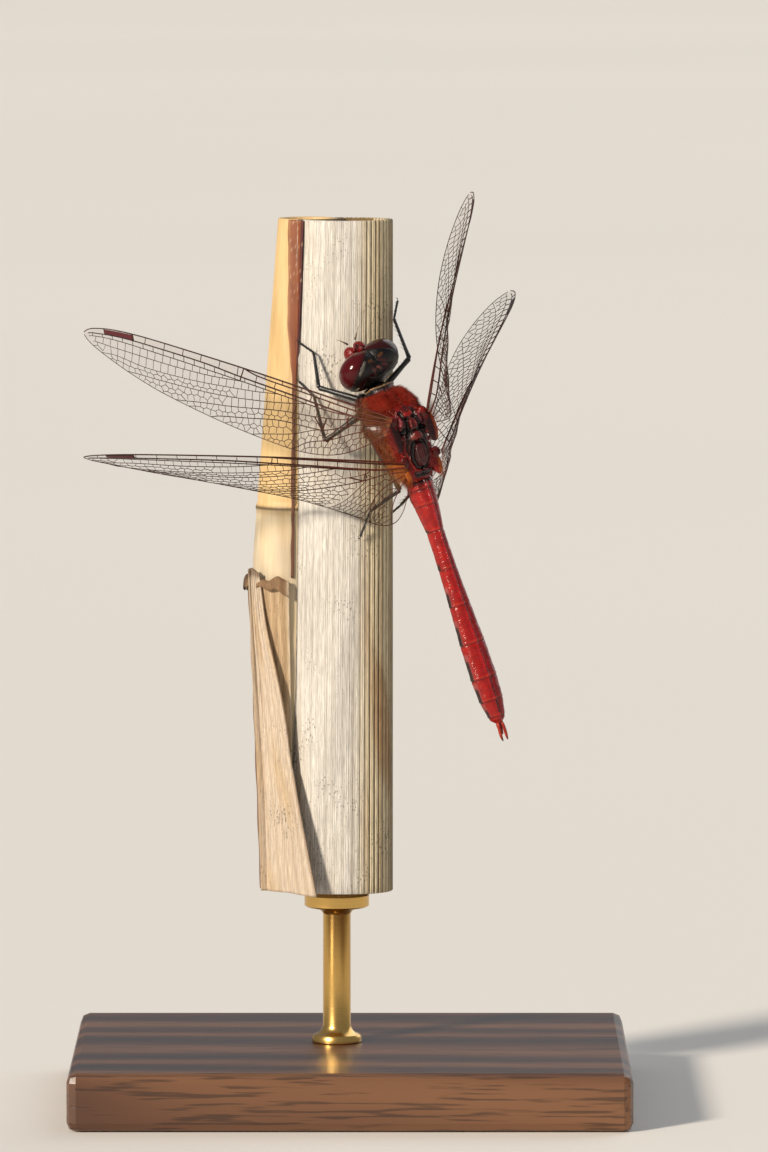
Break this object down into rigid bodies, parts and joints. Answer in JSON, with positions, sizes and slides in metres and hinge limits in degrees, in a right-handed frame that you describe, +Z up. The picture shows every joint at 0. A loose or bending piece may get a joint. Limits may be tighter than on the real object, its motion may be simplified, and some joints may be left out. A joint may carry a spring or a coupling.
{
  "type": "dragonfly model",
  "caption": "Red darter dragonfly at rest, head up on a cut length of dry reed with its wings held forward, on a small wooden base.",
  "frame": {"origin": "centre of the underside of the wooden base", "axes": "+Z up along the reed; +Y from the side the insect clings to, through the reed, to the back; +X to the right as seen from the insect's side"},
  "size_m": [0.048, 0.04, 0.0782],
  "materials": {
    "red_cuticle": "satin red cuticle",
    "thorax_cuticle": "red-brown cuticle under short hair",
    "eye": "glossy dark maroon",
    "black_cuticle": "satin black cuticle",
    "wing": "clear membrane with brown veins",
    "culm": "smooth straw-coloured dry reed",
    "sheath": "grey-white ribbed dry leaf sheath",
    "base_wood": "dark waxed wood",
    "brass": "turned and polished"
  },
  "bodies": {
    "root": {"abdomen_s01": "red_cuticle", "abdomen_s02": "red_cuticle", "abdomen_s03": "red_cuticle", "abdomen_s04": "red_cuticle", "abdomen_s05": "red_cuticle", "abdomen_s06": "red_cuticle", "abdomen_s07": "red_cuticle", "abdomen_s08": "red_cuticle", "abdomen_s09": "red_cuticle", "abdomen_s10": "red_cuticle", "antenna_L": "black_cuticle", "antenna_R": "black_cuticle", "cercus_L": "red_cuticle", "cercus_R": "red_cuticle", "eye_L": "eye", "eye_R": "eye", "face": "red_cuticle", "femur_fore_L": "black_cuticle", "femur_fore_R": "black_cuticle", "femur_hind_L": "black_cuticle", "femur_hind_R": "black_cuticle", "femur_mid_L": "black_cuticle", "femur_mid_R": "black_cuticle", "forewing_L": "wing", "forewing_R": "wing", "head": "black_cuticle", "hindwing_L": "wing", "hindwing_R": "wing", "perch_culm": "culm", "perch_leaf": "sheath", "perch_sheath": "sheath", "prothorax": "thorax_cuticle", "stand_base": "base_wood", "stand_cap": "brass", "stand_rod": "brass", "tarsus_fore_L": "black_cuticle", "tarsus_fore_R": "black_cuticle", "tarsus_hind_L": "black_cuticle", "tarsus_hind_R": "black_cuticle", "tarsus_mid_L": "black_cuticle", "tarsus_mid_R": "black_cuticle", "thorax": "thorax_cuticle", "tibia_fore_L": "black_cuticle", "tibia_fore_R": "black_cuticle", "tibia_hind_L": "black_cuticle", "tibia_hind_R": "black_cuticle", "tibia_mid_L": "black_cuticle", "tibia_mid_R": "black_cuticle"}
  },
  "joints": []
}
